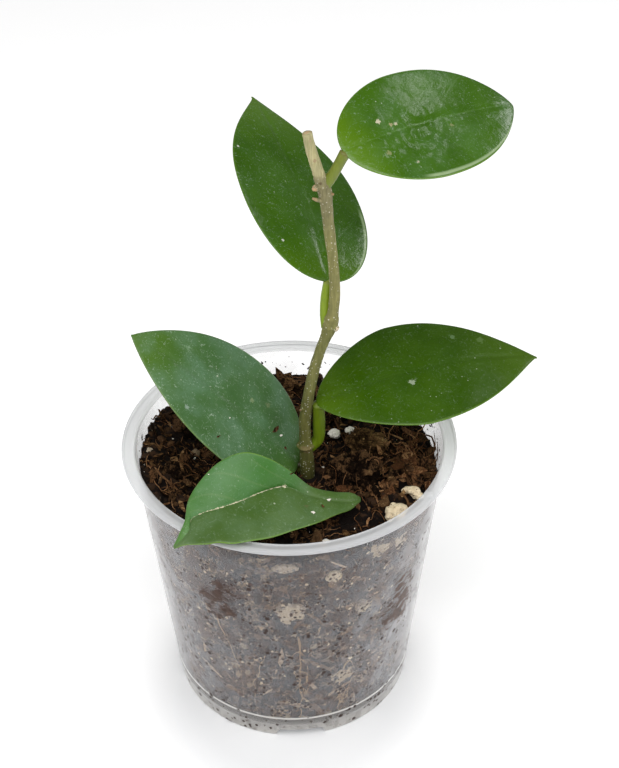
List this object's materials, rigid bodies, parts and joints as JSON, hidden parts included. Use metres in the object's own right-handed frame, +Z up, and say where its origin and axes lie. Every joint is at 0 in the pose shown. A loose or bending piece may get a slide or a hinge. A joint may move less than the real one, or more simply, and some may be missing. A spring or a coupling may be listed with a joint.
{
  "type": "potted hoya plant",
  "caption": "Young hoya cutting with thick glossy pointed leaves, one folded over the rim, in coarse potting mix in a clear tapered nursery pot that stands on its foot ring.",
  "frame": {"origin": "On the standing plane, under the middle of the object's outline seen from above; the pot's own axis is 13 mm to the left of it and 7 mm in front.", "axes": "+Z up along the height, +X to the right of the front view, +Y away from the viewer."},
  "size_m": [0.1312, 0.1198, 0.2084],
  "materials": {
    "clear_plastic": "satin",
    "potting_mix": "matte",
    "peat_lump": "matte",
    "bark": "matte",
    "pumice": "matte",
    "perlite": "matte",
    "root": "matte",
    "stem_bark": "matte",
    "leaf_stalk": "satin",
    "leaf_blade": "gloss"
  },
  "bodies": {
    "root": {"pot": "clear_plastic", "potting_mix": "potting_mix", "roots": "root", "stem": "stem_bark", "stalk_top": "leaf_stalk", "stalk_upper": "leaf_stalk", "stalk_right": "leaf_stalk", "stalk_left": "leaf_stalk", "stalk_front": "leaf_stalk", "leaf_top": "leaf_blade", "leaf_upper": "leaf_blade", "leaf_right": "leaf_blade", "leaf_left": "leaf_blade", "leaf_front": "leaf_blade", "peat_lump_large": "peat_lump", "peat_lump_brown": "peat_lump", "peat_lump_back": "peat_lump", "peat_lump_left": "peat_lump", "bark_chip_right": "bark", "bark_chip_inner": "bark", "bark_chip_back": "bark", "bark_chip_left": "bark", "pumice_front": "pumice", "pumice_side": "pumice", "pumice_left": "pumice", "perlite_1": "perlite", "perlite_2": "perlite", "perlite_3": "perlite", "perlite_4": "perlite", "perlite_5": "perlite", "pumice_wall_1": "pumice", "pumice_wall_2": "pumice", "pumice_wall_3": "pumice", "pumice_wall_4": "pumice"}
  },
  "joints": []
}
